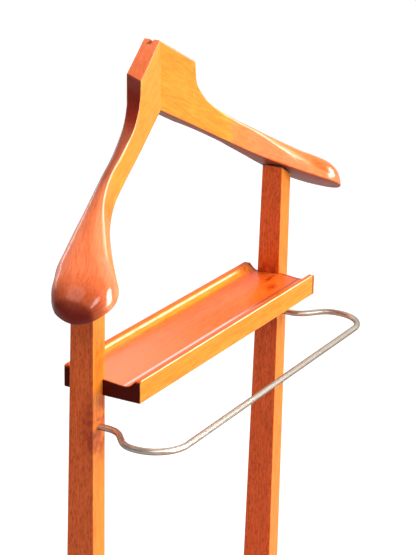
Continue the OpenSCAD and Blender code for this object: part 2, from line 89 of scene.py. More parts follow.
# %% Helpers for nodes
def add(tree, kind, inputs=None, **settings):
    """Adds a node, sets its own settings, and sets or links its inputs."""
    n = tree.nodes.new(kind)
    for key, value in settings.items():
        setattr(n, key, value)
    for key, value in (inputs or {}).items():
        if isinstance(value, bpy.types.NodeSocket):
            tree.links.new(value, n.inputs[key])
        else:
            n.inputs[key].default_value = value
    return n


def maths(tree, operation, a, b=0.0, clamp=False):
    n = add(tree, "ShaderNodeMath", {0: a, 1: b}, operation=operation, use_clamp=clamp)
    return n.outputs[0]


def product(tree, first, *others):
    """All the values multiplied together."""
    for other in others:
        first = maths(tree, "MULTIPLY", first, other)
    return first


def ranged(tree, value, lo, hi, to_lo=0.0, to_hi=1.0):
    """Maps lo..hi to to_lo..to_hi with soft ends."""
    return add(tree, "ShaderNodeMapRange", {"Value": value, "From Min": lo, "From Max": hi,
               "To Min": to_lo, "To Max": to_hi}, interpolation_type="SMOOTHSTEP").outputs[0]


print("node helpers ready")

# %% [markdown]
# Patterns need a little vector arithmetic, noise, and two ways to lay one colour over
# another: instead of it, or multiplied with it, as a stain does.

# %% Helpers for vectors, noise and colours
def vector_maths(tree, operation, a, b=(0, 0, 0)):
    """One step of vector arithmetic. A length or a dot product comes out as a number."""
    result = "Value" if operation in ("LENGTH", "DOT_PRODUCT") else "Vector"
    return add(tree, "ShaderNodeVectorMath", {0: a, 1: b}, operation=operation).outputs[result]


def split(tree, vector):
    """The x, y and z of a vector, each as a socket."""
    return add(tree, "ShaderNodeSeparateXYZ", {0: vector}).outputs


def object_place(tree):
    """Where a point lies, in metres. Every piece sits at the origin, so all pieces share it."""
    return add(tree, "ShaderNodeTexCoord").outputs["Object"]


def noise(tree, place, scale, detail, **more):
    """A noise pattern from 0 to 1; more sets the node's other inputs by name."""
    inputs = {"Vector": place, "Scale": scale, "Detail": detail, **more}
    return add(tree, "ShaderNodeTexNoise", inputs).outputs[0]


def blend_colour(tree, factor, a, b, how="MIX"):
    n = add(tree, "ShaderNodeMix", {0: factor, 6: a, 7: b}, data_type="RGBA", blend_type=how)
    return n.outputs[2]


def darkened(tree, mask, colour, tone_layer):
    """The colour, multiplied with a darker colour as far as the mask says."""
    return blend_colour(tree, mask, colour, tone_layer, "MULTIPLY")


print("pattern helpers ready")

# %% [markdown]
# ## Floor, backdrop and light
# The photograph shows plain white behind the chair. The camera looks down at the floor,
# so the floor itself has to be white where nothing shades it. Its material adds a white
# glow that only the camera and reflections see, and keeps part of its true shade, so the
# chair's shadow stays. Further out the lamps light the floor less, and the glow grows.

# %% Floor
FLOOR_GREY, GLOW = 0.42, 1.6                   # colour of the matt floor, strength of the glow
GLOW_SEEN, GLOW_MIRRORED = 0.6, 0.1            # share of glow for the camera and for gloss
GLOW_NEAR, NEAR, FAR = 0.78, 0.5, 1.5          # part of the glow up to NEAR metres, all from FAR


def mirror_rays(tree, path):
    """1 for the rays that gloss and glass send out, 0 for all others."""
    rays = path.outputs
    return maths(tree, "MAXIMUM", rays["Is Glossy Ray"], rays["Is Transmission Ray"])


floor_paint = bpy.data.materials.new("floor_paint")
floor_paint.use_nodes = True
t = floor_paint.node_tree
t.nodes.clear()
matt = add(t, "ShaderNodeBsdfDiffuse", {"Color": (FLOOR_GREY, FLOOR_GREY, FLOOR_GREY, 1)})
from_chair = vector_maths(t, "LENGTH", object_place(t))
glow = add(t, "ShaderNodeEmission", {"Color": ranged(t, from_chair, NEAR, FAR, GLOW_NEAR, 1.0),
                                     "Strength": GLOW})
path = add(t, "ShaderNodeLightPath")
share = maths(t, "MAXIMUM", product(t, path.outputs["Is Camera Ray"], GLOW_SEEN),
              product(t, mirror_rays(t, path), GLOW_MIRRORED))
mixed = add(t, "ShaderNodeMixShader", {0: share, 1: matt.outputs[0], 2: glow.outputs[0]})
add(t, "ShaderNodeOutputMaterial", {"Surface": mixed.outputs[0]})

floor_mesh = bpy.data.meshes.new("floor")
floor_mesh.from_pydata([(-7, -5, 0), (7, -5, 0), (7, 9, 0), (-7, 9, 0)], [], [(0, 1, 2, 3)])
floor = bpy.data.objects.new("floor", floor_mesh)
bpy.context.scene.collection.objects.link(floor)
floor_mesh.materials.append(floor_paint)
print("floor:", [round(v, 1) for v in floor.dimensions], "m")

# %% [markdown]
# The world is white to the camera. To the lacquer and the metal it is a studio with
# white paper on the right and a dim wall on the left, and matt surfaces get one plain
# level from all around.

# %% World
LEVEL = 0.55                                   # light that comes from all around
DIM_AT, DIM, PAPER_AT, PAPER = -0.3, 0.12, 0.6, 1.0   # what gloss sees, by the X of its direction

world = bpy.data.worlds.new("studio") if not bpy.context.scene.world else bpy.context.scene.world
bpy.context.scene.world = world
world.use_nodes = True
t = world.node_tree
t.nodes.clear()
path = add(t, "ShaderNodeLightPath")
way = split(t, add(t, "ShaderNodeTexCoord").outputs["Generated"])
screen = ranged(t, way["X"], DIM_AT, PAPER_AT, DIM, PAPER)
level = add(t, "ShaderNodeMix", {0: mirror_rays(t, path), 2: LEVEL, 3: screen}).outputs[0]
soft = add(t, "ShaderNodeBackground", {"Color": (1, 1, 1, 1), "Strength": level})
white = add(t, "ShaderNodeBackground", {"Color": (1, 1, 1, 1), "Strength": 1.0})
mixed = add(t, "ShaderNodeMixShader", {0: path.outputs["Is Camera Ray"], 1: soft.outputs[0],
                                       2: white.outputs[0]})
add(t, "ShaderNodeOutputWorld", {"Surface": mixed.outputs[0]})
print("world:", len(t.nodes), "nodes")

# %% [markdown]
# The light comes from the front right and from above: the faces towards the viewer's
# right are bright and those towards the left lie in shade. Soft boxes are area lamps.
# The wood's colour and its gloss want different ones. Two large boxes light the wood and
# don't show in its lacquer. Five others show only there, as the highlights of the
# photograph, and two of those are turned to a shoulder end each, with a narrow spread so
# that no other place catches them. The fill does both.

# %% Soft boxes
def soft_box(name, place, aim, width, height, watts, mirrored=True, lights=True, spread=180):
    """An area lamp. mirrored: gloss shows it. lights: matt surfaces catch it. spread: degrees."""
    lamp = bpy.data.lights.new(name, "AREA")
    lamp.shape, lamp.size, lamp.size_y, lamp.energy = "RECTANGLE", width, height, watts
    lamp.spread = math.radians(spread)
    box = bpy.data.objects.new(name, lamp)
    to = Vector(aim) - Vector(place)
    box.matrix_world = Matrix.Translation(place) @ to.to_track_quat("-Z", "Y").to_matrix().to_4x4()
    bpy.context.scene.collection.objects.link(box)
    box.visible_camera, box.visible_glossy, box.visible_diffuse = False, mirrored, lights


soft_box("key", (1.22, -2.96, 1.78), (0, 0.1, 0.9), 1.4, 1.4, 102, mirrored=False)
soft_box("key_gloss", (1.66, -2.52, 2.16), (0, 0.1, 0.9), 0.5, 0.5, 16, lights=False)
soft_box("top", (0.7, -0.4, 3.35), (0, 0.1, 0.8), 1.6, 1.6, 85, mirrored=False)
soft_box("fill", (-2.0, -1.15, 2.6), (0, 0.1, 0.95), 0.75, 0.75, 16)
soft_box("left_end_gloss", (-0.12, -0.45, 1.17), (-0.22, 0.11, 0.966), 0.32, 0.52, 3.0,
         lights=False, spread=70)
soft_box("right_end_gloss", (0.265, -0.02, 1.0175), (0.211, 0.112, 0.971), 0.045, 0.06, 0.008,
         lights=False, spread=36)
soft_box("back_gloss", (0.6, 2.95, 1.55), (0, 0.1, 1.0), 1.6, 0.14, 4.2, lights=False)
soft_box("side_gloss", (-1.7, 1.55, 2.97), (0, 0.1, 0.95), 0.9, 0.9, 4, lights=False)

# %% [markdown]
# ## Beech, as a node group
# Beech has three marks. Growth rings give slow streaks along the grain, its pores give
# fine fibres, and on faces cut across the rings the rays show as short dark flecks. The
# group reads coordinates in metres whose Z runs along the grain, so that every board can
# use it once its own coordinates are turned.

# %% The beech group
# pattern steps for each metre, across the grain twice and along it
STREAK_STEPS, FIBRE_STEPS, RAY_STEPS = (95, 95, 5), (620, 620, 55), (780, 780, 190)


def new_group(name, inputs, outputs, kind="ShaderNodeTree"):
    """An empty node group with named inputs and outputs, and its two end nodes."""
    tree = bpy.data.node_groups.new(name, kind)
    for label, socket, default in inputs:
        s = tree.interface.new_socket(label, in_out="INPUT", socket_type=socket)
        if default is not None:
            s.default_value = default
    for label, socket in outputs:
        tree.interface.new_socket(label, in_out="OUTPUT", socket_type=socket)
    return tree, tree.nodes.new("NodeGroupInput"), tree.nodes.new("NodeGroupOutput")


figure, gin, gout = new_group("beech_figure", [
    ("Vector", "NodeSocketVector", None), ("Seed", "NodeSocketFloat", 0.0),
    ("Fleck Share", "NodeSocketFloat", 0.5)], [
    ("Streaks", "NodeSocketFloat"), ("Fibres", "NodeSocketFloat"),
    ("Flecks", "NodeSocketFloat"), ("Height", "NodeSocketFloat")])
t = figure
seed = add(t, "ShaderNodeCombineXYZ", {0: gin.outputs["Seed"], 1: gin.outputs["Seed"]}).outputs[0]
shift = vector_maths(t, "ADD", gin.outputs["Vector"], seed)
streaks = noise(t, vector_maths(t, "MULTIPLY", shift, STREAK_STEPS), 1.0, 4.0,
                Roughness=0.6, Distortion=0.3)
fibres = noise(t, vector_maths(t, "MULTIPLY", shift, FIBRE_STEPS), 1.0, 3.0, Roughness=0.7)
rays = noise(t, vector_maths(t, "MULTIPLY", shift, RAY_STEPS), 1.0, 1.5, Roughness=0.6)
flecks = maths(t, "MULTIPLY", ranged(t, rays, 0.50, 0.64), gin.outputs["Fleck Share"], clamp=True)
height = maths(t, "SUBTRACT", product(t, fibres, 0.5), product(t, flecks, 0.6))
for label, socket in (("Streaks", streaks), ("Fibres", fibres), ("Flecks", flecks),
                      ("Height", height)):
    t.links.new(socket, gout.inputs[label])
print("beech_figure:", len(figure.nodes), "nodes")

# %% [markdown]
# ## Which way a face was cut
# A board looks different on each face. Its broad faces are plain and golden, its edges
# show flecks and turn redder, partly under the stain and partly as painted shade, and its
# ends drink the stain and go dark.
# The group compares the surface's normal with two directions: the one that the grain
# runs in, and the one that the broad faces look in.

# %% The cut group
cut, gin, gout = new_group("cut_of_face", [
    ("Grain Axis", "NodeSocketVector", (0, 0, 1)), ("Face Axis", "NodeSocketVector", (0, 1, 0))], [
    ("End", "NodeSocketFloat"), ("Broad", "NodeSocketFloat")])
t = cut
normal = add(t, "ShaderNodeNewGeometry").outputs["Normal"]
for axis, label, lo, hi in (("Grain Axis", "End", 0.62, 1.0), ("Face Axis", "Broad", 0.30, 0.85)):
    turned = maths(t, "ABSOLUTE", vector_maths(t, "DOT_PRODUCT", normal, gin.outputs[axis]))
    t.links.new(ranged(t, turned, lo, hi), gout.inputs[label])
print("cut_of_face:", len(cut.nodes), "nodes")

# %% [markdown]
# ## Worn edges, as a node group
# Lacquer is thin on a sharp edge, and hands polish it there, so edges look paler. A Bevel
# node gives the normal that a rounded edge would have. Where it differs from the true
# normal there is an edge, and noise breaks the line up.

# %% The edge group
WORN_RADIUS = 0.0016                           # metres from an edge that hands polish

edge_wear, gin, gout = new_group("edge_wear", [
    ("Vector", "NodeSocketVector", None), ("Amount", "NodeSocketFloat", 0.5)], [
    ("Mask", "NodeSocketFloat")])
t = edge_wear
rounded = add(t, "ShaderNodeBevel", {"Radius": WORN_RADIUS}, samples=4).outputs[0]
true_normal = add(t, "ShaderNodeNewGeometry").outputs["True Normal"]
near = ranged(t, vector_maths(t, "DOT_PRODUCT", rounded, true_normal), 0.80, 0.995, 1.0, 0.0)
chips = noise(t, gin.outputs["Vector"], 90.0, 4.0, Roughness=0.7)
near = product(t, near, ranged(t, chips, 0.3, 0.7, 0.35, 1.0))
t.links.new(maths(t, "MULTIPLY", near, gin.outputs["Amount"], clamp=True), gout.inputs["Mask"])
print("edge_wear:", len(edge_wear.nodes), "nodes")

# %% [markdown]
# ## Marks that have a place of their own
# Grain and wear lie all over a board, but some marks don't: dirt around the hole of the
# rod, dark spots on the tray, lines along its lips, growth lines across an arm. Some of
# them are painted shade and painted highlights instead, as noted where they stand.
# Each function below takes the colour so far and gives it back with its marks. A mark is
# a mask: how far a point is from the mark's middle, turned into a share from 0 to 1.

# %% Smudges, painted shade and stripes
SMUDGE_AND_SHADE = (0.50, 0.22, 0.30, 1)


def smudges_and_shade(t, colour, places):
    """Darkens colour at worn spots and at painted shade, each given by its centre and half
    sizes in metres.
    """
    at = object_place(t)
    torn = ranged(t, noise(t, at, 130.0, 4.0), 0.35, 0.65, 0.25, 1.0)
    for centre, size, strength in places:
        off = vector_maths(t, "DIVIDE", vector_maths(t, "SUBTRACT", at, centre), size)
        mask = product(t, ranged(t, vector_maths(t, "LENGTH", off), 0.3, 1.0, strength, 0.0), torn)
        colour = darkened(t, mask, colour, SMUDGE_AND_SHADE)
    return colour


def stripe(t, value, centre, half):
    """1 where value is within half of centre, with soft ends."""
    far = maths(t, "ABSOLUTE", maths(t, "SUBTRACT", value, centre))
    return ranged(t, far, 0.5 * half, half, 1.0, 0.0)


print("smudges and stripes ready")

# %% [markdown]
# The tray's lips show the most lines. The top of the front lip is deep orange, and its
# outer edge gets a painted highlight, broken here and there. The foot of its inner slope
# gets a pale painted highlight on the left and a dark painted reflection on the right. A
# pale line down the back slope is a painted highlight, and the joint with the right post
# is dark. The left of the floor gets a paler painted sheen. The sawn ends of the board
# stay plain.

# %% Lines of the tray
# painted sheen, painted highlights and a dark painted reflection are among these colours
FLOOR_SHEEN, LIP_TOP = (0.88, 0.21, 0.10, 1), (0.78, 0.095, 0.008, 1)
FOOT_HIGHLIGHT, FOOT_DARK_REFLECTION = (0.92, 0.50, 0.46, 1), (0.24, 0.05, 0.045, 1)
EDGE_HIGHLIGHT, SLOPE_HIGHLIGHT, JOINT = (1.0, 0.74, 0.42, 1), (1.0, 0.62, 0.38, 1), (0.20, 0.03, 0.025, 1)
# middle and half width of each line, in metres back from the tray's front face
LIP_AT, EDGE_AT, FOOT_AT = (0.0030, 0.0040), (0.0001, 0.0008), (0.0166, 0.0019)
# the same from its back face forwards and from its right end inwards
SLOPE_AT, JOINT_AT = (0.0070, 0.0010), (0.0035, 0.002)
FLOOR_HALF = 0.034                             # half width of the tray's floor
# a lip's top starts here above the underside, its arris here below the tray's highest point
TOP_FROM, ARRIS_FROM = (0.0190, 0.0205), (0.0012, 0.0005)


def lip_lines(t, colour):
    """Paints the lines of the tray's lips, several of them painted highlights and a painted
    sheen; the sawn ends keep the colour that comes in.
    """
    lo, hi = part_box("tray")
    sawn_colour = colour
    normal = add(t, "ShaderNodeNewGeometry").outputs["True Normal"]
    sawn = ranged(t, maths(t, "ABSOLUTE", split(t, normal)[0]), 0.3, 0.7)
    at = object_place(t)
    x, y, z = split(t, at)
    broken = ranged(t, noise(t, at, 60.0, 3.0), 0.3, 0.6, 0.55, 1.0)

    # painted sheen: the left of the floor is paler
    pale = product(t, stripe(t, y, (lo.y + hi.y) / 2, FLOOR_HALF),
                   ranged(t, x, -0.17, 0.03, 0.75, 0.0))
    colour = blend_colour(t, pale, colour, FLOOR_SHEEN)
    high = ranged(t, z, lo.z + TOP_FROM[0], lo.z + TOP_FROM[1])
    top = product(t, stripe(t, y, lo.y + LIP_AT[0], LIP_AT[1]), high, 0.9)
    colour = blend_colour(t, top, colour, LIP_TOP)
    # painted highlight on the left and a dark painted reflection on the right, at the slope's foot
    foot_colour = blend_colour(t, ranged(t, x, 0.01, 0.09), FOOT_HIGHLIGHT, FOOT_DARK_REFLECTION)
    foot = product(t, stripe(t, y, lo.y + FOOT_AT[0], FOOT_AT[1]), 0.8)
    colour = blend_colour(t, foot, colour, foot_colour)
    # painted highlight along the front lip's outer edge, broken by noise
    arris = ranged(t, z, hi.z - ARRIS_FROM[0], hi.z - ARRIS_FROM[1])
    edge = product(t, stripe(t, y, lo.y + EDGE_AT[0], EDGE_AT[1]), arris, broken)
    colour = blend_colour(t, edge, colour, EDGE_HIGHLIGHT)
    # painted highlight down the back slope
    slope = product(t, stripe(t, y, hi.y - SLOPE_AT[0], SLOPE_AT[1]), broken,
                    ranged(t, x, 0.125, 0.15, 1.0, 0.0))
    colour = blend_colour(t, slope, colour, SLOPE_HIGHLIGHT)
    joint = product(t, stripe(t, x, hi.x - JOINT_AT[0], JOINT_AT[1]), 0.8)
    colour = blend_colour(t, joint, colour, JOINT)
    return blend_colour(t, sawn, colour, sawn_colour)


print("tray lines ready")

# %% [markdown]
# Two lines follow the slope of the hanger. Growth lines cross the front of the right
# arm, and the open joint between each post and the hanger gets painted shade. A slanted
# line is a level line once the height has a share of the distance out added to it.

# %% Lines that follow the hanger
GROWTH_RED, JOINT_SHADE = (0.86, 0.13, 0.02, 1), (0.018, 0.003, 0.002, 1)
# slope, level, first and last distance out (metres) and strength of each growth line
GROWTH = ((0.69, 1.0847, 0.004, 0.078, 0.55), (0.354, 1.0841, 0.0, 0.034, 0.35),
          (0.83, 1.099, 0.052, 0.080, 0.25))
GROWTH_HALF = 0.0008                           # half width of a growth line
JOINT_SLOPE, JOINT_FROM, JOINT_FULL = 0.54, 1.0690, 1.0706   # the arm's fall, the joint's heights


def growth_lines(t, colour):
    """Thin red growth lines that cross the front of the right arm."""
    x, _, z = split(t, object_place(t))
    for slope, level, first, last, strength in GROWTH:
        across = maths(t, "ADD", z, product(t, x, slope))
        mask = product(t, stripe(t, across, level, GROWTH_HALF),
                       stripe(t, x, (first + last) / 2, (last - first) / 2), strength)
        colour = blend_colour(t, mask, colour, GROWTH_RED)
    return colour


def post_top(t, colour):
    """Painted shade: the top of a post goes dark in the open joint under the sloping hanger."""
    x, _, z = split(t, object_place(t))
    line = maths(t, "ADD", z, product(t, maths(t, "ABSOLUTE", x), JOINT_SLOPE))
    # painted shade in the joint
    return blend_colour(t, ranged(t, line, JOINT_FROM, JOINT_FULL), colour, JOINT_SHADE)


print(len(GROWTH), "growth lines")

# %% [markdown]
# ## Lacquered beech
# One function makes every wooden finish of the chair. It turns the coordinates so that
# the grain runs along Z, asks the groups for their masks, and mixes a golden, a red and a
# dark end-grain colour. The red of the narrow faces is partly painted shade. The gloss is
# the shader's own coat, thinner on end grain and on faces that look down.

# %% Lacquered beech
GOLD, RED, END_DARK = (0.93, 0.37, 0.035, 1), (0.73, 0.092, 0.014, 1), (0.11, 0.010, 0.007, 1)
STREAK, FIBRE, FLECK = (0.90, 0.74, 0.62, 1), (0.82, 0.70, 0.54, 1), (0.55, 0.42, 0.38, 1)
WORN = (1.0, 0.70, 0.36, 1)
TURN = {"x": (0, math.radians(-90), 0), "y": (math.radians(90), 0, 0), "z": (0, 0, 0)}
AXIS = {"x": (1, 0, 0), "y": (0, 1, 0), "z": (0, 0, 1)}


def facing_down(t):
    """0 on top and sides, 0.9 underneath, where less lacquer is sprayed; arms: painted shade."""
    normal = add(t, "ShaderNodeNewGeometry").outputs["Normal"]
    return ranged(t, split(t, normal)[2], -0.8, -0.3, 0.9, 0.0)


def wood_masks(t, attribute, grain, broad, flecks, seed, edge):
    """Places the three groups in a material and gives back their masks by name."""
    if attribute:
        place = add(t, "ShaderNodeAttribute", attribute_name=attribute).outputs["Vector"]
    else:
        place = add(t, "ShaderNodeMapping", {"Vector": object_place(t),
                                             "Rotation": TURN[grain]}).outputs[0]
    faces = add(t, "ShaderNodeGroup", node_tree=cut)
    faces.inputs["Grain Axis"].default_value = AXIS[grain]
    faces.inputs["Face Axis"].default_value = AXIS[broad]
    marks = add(t, "ShaderNodeGroup", node_tree=figure)
    marks.inputs["Seed"].default_value = seed
    t.links.new(place, marks.inputs["Vector"])
    narrow = maths(t, "SUBTRACT", 1.12, faces.outputs["Broad"])
    t.links.new(product(t, narrow, flecks), marks.inputs["Fleck Share"])
    wear = add(t, "ShaderNodeGroup", node_tree=edge_wear)
    t.links.new(place, wear.inputs["Vector"])
    wear.inputs["Amount"].default_value = edge
    return {out.name: out for group in (faces, marks, wear) for out in group.outputs}


def lacquered(name, grain, broad="y", gold=GOLD, red=RED, gloss=0.75, flecks=0.8, seed=0.0,
              edge=0.35, tone=None, attribute=None, dark_patches=(), end_dark=END_DARK, lines=None):
    """A beech material. grain and broad name the board's own directions. tone(tree) gives the
    colour before the grain, and lines(tree, colour) adds marks after it."""
    m = bpy.data.materials.new(name)
    m.use_nodes = True
    t = m.node_tree
    shader = t.nodes["Principled BSDF"]
    mask = wood_masks(t, attribute, grain, broad, flecks, seed, edge)
    if tone:
        base = tone(t)
    else:
        # the redder colour of the narrow faces is partly painted shade
        base = blend_colour(t, mask["End"], blend_colour(t, mask["Broad"], red, gold), end_dark)
    warm = darkened(t, ranged(t, mask["Streaks"], 0.3, 0.75, 0.0, 0.6), base, STREAK)
    warm = darkened(t, ranged(t, mask["Fibres"], 0.38, 0.66, 0.0, 0.9), warm, FIBRE)
    warm = darkened(t, product(t, mask["Flecks"], 0.6), warm, FLECK)
    warm = smudges_and_shade(t, warm, dark_patches) if dark_patches else warm
    warm = lines(t, warm) if lines else warm
    t.links.new(blend_colour(t, mask["Mask"], warm, WORN), shader.inputs["Base Color"])
    rough = maths(t, "ADD", ranged(t, mask["Fibres"], 0.2, 0.8, 0.30, 0.42),
                  product(t, mask["Mask"], 0.15))
    t.links.new(rough, shader.inputs["Roughness"])
    bump = add(t, "ShaderNodeBump", {"Strength": 0.12, "Distance": 0.0004,
                                     "Height": mask["Height"]})
    t.links.new(bump.outputs[0], shader.inputs["Normal"])
    shader.inputs["Specular IOR Level"].default_value = 0.05
    dull = maths(t, "MAXIMUM", product(t, mask["End"], 0.0 if tone else 0.85), facing_down(t))
    t.links.new(product(t, maths(t, "SUBTRACT", 1.0, dull), gloss), shader.inputs["Coat Weight"])
    shader.inputs["Coat Roughness"].default_value = 0.15
    shader.inputs["Coat IOR"].default_value = 1.5
    return m


print("lacquered() ready")

# %% [markdown]
# ### Finishes of the boards
# Each board gets its own finish. The left post is scuffed around the hole of the rod, and
# above the tray it is darker, partly scuffed and partly painted shadow. The right post is
# dark on its inner side under the tray's end, a painted shadow of the tray. Old marks
# darken the right end of the tray, and its back lip next to the right post gets painted
# shade.

# %% Finishes of the boards
LEFT_X, INNER_X = -0.1775, 0.1675              # middle of the left post, inner side of the right
FRONT_Y, ROD_Z = 0.148, 0.822                  # front of both posts, height of the rod
post_wood = lacquered(
    "post_wood", "z", gold=(0.93, 0.295, 0.030, 1), red=(0.80, 0.145, 0.028, 1), gloss=0.4,
    flecks=1.0, lines=post_top,
    dark_patches=[((LEFT_X, FRONT_Y, ROD_Z), (0.03, 0.02, 0.045), 0.9),
           # partly scuffs, partly a painted shadow above the tray
           ((LEFT_X, FRONT_Y, 0.888), (0.012, 0.03, 0.035), 0.45),
           # painted shadow of the tray on the right post's inner side
           ((INNER_X, FRONT_Y, 0.845), (0.003, 0.06, 0.05), 0.95)])
tray_wood = lacquered(
    "tray_wood", "x", gold=(0.93, 0.32, 0.030, 1), red=(0.85, 0.130, 0.012, 1), gloss=0.22,
    flecks=0.35, seed=1.3, edge=0.55, end_dark=(0.075, 0.005, 0.003, 1), lines=lip_lines,
    dark_patches=[((0.146, 0.149, 0.866), (0.020, 0.004, 0.02), 1.0),
           ((0.128, 0.137, 0.866), (0.016, 0.008, 0.02), 1.0),
           # painted shade on the back lip next to the right post
           ((0.160, 0.186, 0.871), (0.022, 0.016, 0.02), 1.0),
           ((0.155, 0.155, 0.866), (0.028, 0.016, 0.02), 0.3)])
seat_wood = lacquered("seat_wood", "y", broad="z", gold=(0.84, 0.24, 0.035, 1), flecks=0.5,
                      seed=2.1)
rail_x_wood = lacquered("rail_x_wood", "x", seed=3.7, gloss=0.5)
rail_y_wood = lacquered("rail_y_wood", "y", broad="x", seed=4.2, gloss=0.5)
leg_wood = lacquered("leg_wood", "z", seed=5.9, gloss=0.5)
block_wood = lacquered("block_wood", "x", broad="z", gloss=0.1, seed=6.4, edge=0.15)
print("wood finishes:", [m.name for m in bpy.data.materials if m.name.endswith("wood")])

# %% [markdown]
# ## Softened boards
# The posts, rails and tray are planed boards with their edges just broken. On the
# measured model those edges are sharp. A merged copy of each board gets a narrow bevel on
# its long edges, which is what catches a line of light in the photograph.
#
# First come two helpers that every made piece needs. One puts a mesh into the scene. The
# other turns an object and its modifiers into one plain mesh.

# %% Helpers for made pieces
def link(name, mesh):
    o = bpy.data.objects.new(name, mesh)
    bpy.context.scene.collection.objects.link(o)
    return o


def finished_mesh(o):
    """The object's shape with its modifiers in it, as a plain mesh; the modifiers go."""
    graph = bpy.context.evaluated_depsgraph_get()
    mesh = bpy.data.meshes.new_from_object(o.evaluated_get(graph), depsgraph=graph)
    o.modifiers.clear()
    o.data = mesh
    return mesh


print("mesh helpers ready")

# %% [markdown]
# The measured mesh is loose triangles. The copy merges them and joins those that lie in
# one plane, so that only the real edges of the board are left, and it marks the sharp
# outer ones for the Bevel modifier. Weighted normals then keep the broad faces flat.

# %% Helper for boards
ONE_PLANE, SHARP, CREASE = (math.radians(a) for a in (1, 30, 28))   # angles between faces
BEVEL_STEPS = 4


def merged(node, keep, least):
    """A merged copy of a board's mesh with a bevel weight on each sharp outer edge, and
    their number. keep() gives an edge's share of the bevel; shorter edges than least get none."""
    bm = bmesh.new()
    bm.from_mesh(nodes[node].data)
    bmesh.ops.remove_doubles(bm, verts=bm.verts, dist=1e-6)
    bmesh.ops.dissolve_limit(bm, angle_limit=ONE_PLANE, verts=bm.verts, edges=bm.edges)
    weight = bm.edges.layers.float.new("bevel_weight_edge")
    count = 0
    for e in bm.edges:
        a, b = (v.co for v in e.verts)
        if (len(e.link_faces) == 2 and e.calc_face_angle_signed() > SHARP
                and e.calc_length() > least and keep(a, b) > 0):
            e[weight] = keep(a, b)
            count += 1
    mesh = bpy.data.meshes.new(node + "_soft")
    bm.to_mesh(mesh)
    bm.free()
    return mesh, count


def softened(node, material, width, keep=lambda a, b: 1.0, least=0.012):
    """Replaces a board by a copy whose edges are rounded by width times keep()."""
    mesh, count = merged(node, keep, least)
    o = link(node + "_soft", mesh)
    mesh.materials.append(material)
    bevel = o.modifiers.new("edges", "BEVEL")
    bevel.limit_method, bevel.width, bevel.segments = "WEIGHT", width, BEVEL_STEPS
    bevel.use_clamp_overlap = False
    mesh = finished_mesh(o)
    mesh.shade_smooth()
    mesh.set_sharp_from_angle(angle=CREASE)
    flat = o.modifiers.new("flat", "WEIGHTED_NORMAL")
    flat.keep_sharp, flat.weight = True, 100
    mesh = finished_mesh(o)
    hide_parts(node)
    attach(o, "root")
    print(node, "edges softened:", count, "faces:", len(mesh.polygons))


print("softened() ready")

# %% [markdown]
# ### Posts and tray
# The ends of the tray sit in shallow housings in the posts. Nothing is rounded there,
# because a rounded edge would open a gap that the real joint doesn't have.

# %% Posts and tray
tray_lo, tray_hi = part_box("tray")
HOUSING_H = 0.0175                             # height of a housing, from the tray's underside
LIP_TOP_H = 0.0205                             # only the tops of the lips lie higher than this
POST_EDGE, TRAY_EDGE, LIP_END = 0.0009, 0.0012, 0.0045   # radii: post, tray, ends of its lips


def outside_housing(a, b):
    z = (a.z + b.z) / 2
    return 0.0 if tray_lo.z - 1e-5 <= z <= tray_lo.z + HOUSING_H else 1.0


def tray_edges(a, b):
    """The two ends of each lip are rounded over, everything else is only broken."""
    across = abs(a.x - b.x) < 1e-6 and abs(abs(a.x) - tray_hi.x) < 1e-6
    high = min(a.z, b.z) > tray_lo.z + LIP_TOP_H
    return 1.0 if across and high else TRAY_EDGE / LIP_END


for side in ("left", "right"):
    softened(side + "_post", post_wood, POST_EDGE, outside_housing)
softened("tray", tray_wood, LIP_END, tray_edges, least=0.0008)

# %% [markdown]
# ### Legs, rails, stretchers and seat
# These lie below the picture. They get the same care, because the chair is looked at
# from all sides.

# %% Lower boards
# radius of the edges in metres; the stretchers have that of the legs
LEG_EDGE, RAIL_EDGE, BLOCK_EDGE, SEAT_EDGE = 0.0012, 0.0009, 0.0006, 0.003

for side in ("left", "right"):
    softened(side + "_front_leg", leg_wood, LEG_EDGE)
    softened(side + "_side_rail", rail_y_wood, RAIL_EDGE)
    softened(side + "_stretcher", rail_y_wood, LEG_EDGE)
    for end in ("front", "rear"):
        softened(f"{end}_{side}_block", block_wood, BLOCK_EDGE)
for rail in ("front_rail", "back_rail"):
    softened(rail, rail_x_wood, RAIL_EDGE)
softened("cross_stretcher", rail_x_wood, LEG_EDGE)
softened("seat_panel", seat_wood, SEAT_EDGE, least=0.002)

# %% [markdown]
# ## The hanger
# The two arms are carved: thin and upright at the middle, broad and flat at the shoulder
# ends. A carver works from sections, and so does this cell. Each row gives one section
# along the arm, a smooth curve runs through all of them, and the skin is stretched over
# many rings between. The numbers are those of the measured model, in millimetres.

# %% Sections of the arm
POST_Y, HANGER_Z, PEAK_H = 148.1, 1068.0, 66.6
UNDER_SLOPE, UNDER_BEND, UNDER_MORE, UNDER_END = 0.5, 110.0, 0.04, 192.0
ROOF_SLOPE, ROOF_HALF, ROOF_SKEW = 0.555, 50.5, 7.7
HANGER_BACK, NECK_T, NECK_LEAN, ARM_SWEEP = 63.8, 17.2, 1.9, 0.2
NECK_FRONT = HANGER_BACK - NECK_T - NECK_LEAN
BULB_AT, BULB_W, BULB_REACH, BULB_H = 217.0, 63.0, 41.8, 25.0
BULB_BACK = BULB_W - BULB_REACH
NOSE_L, NOSE_TURN, NOSE_POWER = 26.5, 5.5, 1.15
EDGE_R, BASE_R = 1.2, 1.0
